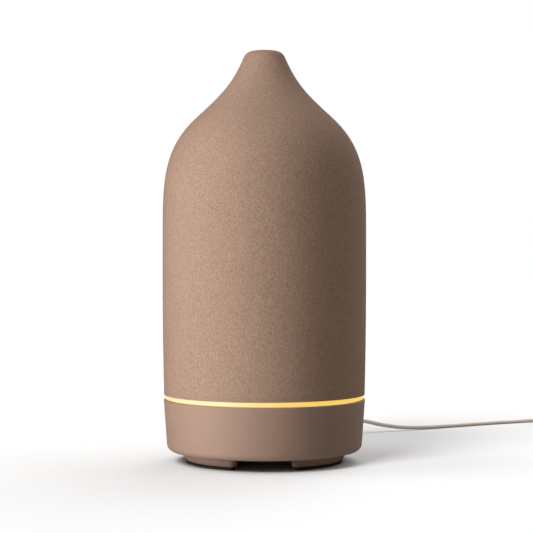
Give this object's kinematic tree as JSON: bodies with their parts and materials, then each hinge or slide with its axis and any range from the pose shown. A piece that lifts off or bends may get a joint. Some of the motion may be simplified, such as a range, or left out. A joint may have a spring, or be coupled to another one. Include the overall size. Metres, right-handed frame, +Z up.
{
  "type": "essential oil diffuser",
  "caption": "Small ultrasonic essential oil diffuser: a bottle-shaped stoneware cover with a mist hole over a water tank, on a round base with a lit ring, a fan and a power lead.",
  "frame": {"origin": "centre of the surface that the diffuser stands on, under the axis of its round body", "axes": "+Z up along the body axis; -Y is the front; the power lead leaves from the back, +Y, and runs off to the right, +X"},
  "size_m": [0.237, 0.2066, 0.1773],
  "materials": {
    "stoneware": "unglazed stoneware, matt and finely grainy, terracotta brown",
    "base_plastic": "fine matt moulded plastic, terracotta brown",
    "light_guide": "translucent frosted acrylic, lit warm yellow from inside",
    "white_plastic": "translucent white polypropylene",
    "rubber": "dark anti-slip rubber",
    "silicone": "soft clear silicone",
    "steel": "bright plated steel",
    "black_plastic": "black moulded plastic",
    "brass": "bare brass",
    "copper": "enamelled copper winding",
    "aluminium": "extruded aluminium",
    "circuit_board": "green solder mask on glass fibre board",
    "cord_jacket": "satin pale beige plastic",
    "red_wire": "red insulated wire"
  },
  "bodies": {
    "base": {"air_duct": "white_plastic", "air_riser": "white_plastic", "base_shell": "base_plastic", "board_screw_1": "steel", "board_screw_2": "steel", "bottom_cover": "base_plastic", "case_screw_1": "steel", "case_screw_2": "steel", "case_screw_3": "steel", "case_screw_4": "steel", "controller_chip": "black_plastic", "dc_jack": "black_plastic", "dc_jack_pin": "steel", "fan_bearing": "brass", "fan_frame": "black_plastic", "fan_lead": "red_wire", "fan_screw_1": "steel", "fan_screw_2": "steel", "fan_stator": "copper", "foot_pad_1": "rubber", "foot_pad_2": "rubber", "foot_pad_3": "rubber", "heat_sink": "aluminium", "led_board": "circuit_board", "led_lead": "red_wire", "light_ring": "light_guide", "light_switch": "black_plastic", "main_board": "circuit_board", "mist_switch": "black_plastic", "power_inductor": "copper", "retainer_screw_1": "steel", "retainer_screw_2": "steel", "retainer_screw_3": "steel", "smoothing_capacitor": "black_plastic", "transducer_disc": "steel", "transducer_lead": "red_wire", "transducer_retainer": "white_plastic", "transducer_seal": "silicone", "water_tank": "white_plastic"},
    "lid": {"inner_lid": "white_plastic", "lid_spout": "white_plastic"},
    "cover": {"stone_cover": "stoneware"},
    "fan_rotor": {"fan_impeller": "black_plastic", "fan_shaft": "steel"},
    "mist_button": {"mist_button": "base_plastic", "mist_plunger": "black_plastic"},
    "light_button": {"light_button": "base_plastic", "light_plunger": "black_plastic"},
    "power_lead": {"dc_plug": "cord_jacket", "dc_plug_barrel": "steel", "power_cord": "cord_jacket", "power_cord_tail": "cord_jacket", "cord_coil": "cord_jacket", "cord_tie": "black_plastic", "adapter_back": "cord_jacket", "adapter_front": "cord_jacket", "adapter_blade_1": "brass", "adapter_blade_2": "brass"}
  },
  "joints": [
    {"name": "lid_lift", "type": "slide", "parent": "base", "child": "lid", "axis": [0, 0, 1], "range_m": [0, 0.04]},
    {"name": "cover_lift", "type": "slide", "parent": "lid", "child": "cover", "axis": [0, 0, 1], "range_m": [0, 0.14]},
    {"name": "fan_spin", "type": "hinge", "parent": "base", "child": "fan_rotor", "pos_m": [0, -0.0195, 0.012], "axis": [0, 0, 1], "continuous": true},
    {"name": "mist_button_press", "type": "slide", "parent": "base", "child": "mist_button", "axis": [0.5, -0.866, 0], "range_m": [0, 0.0005], "stiffness_N_per_m": 1200},
    {"name": "light_button_press", "type": "slide", "parent": "base", "child": "light_button", "axis": [-0.5, -0.866, 0], "range_m": [0, 0.0005], "stiffness_N_per_m": 1200},
    {"name": "plug_pull", "type": "slide", "parent": "base", "child": "power_lead", "axis": [0, 1, 0], "range_m": [0, 0.012]}
  ]
}
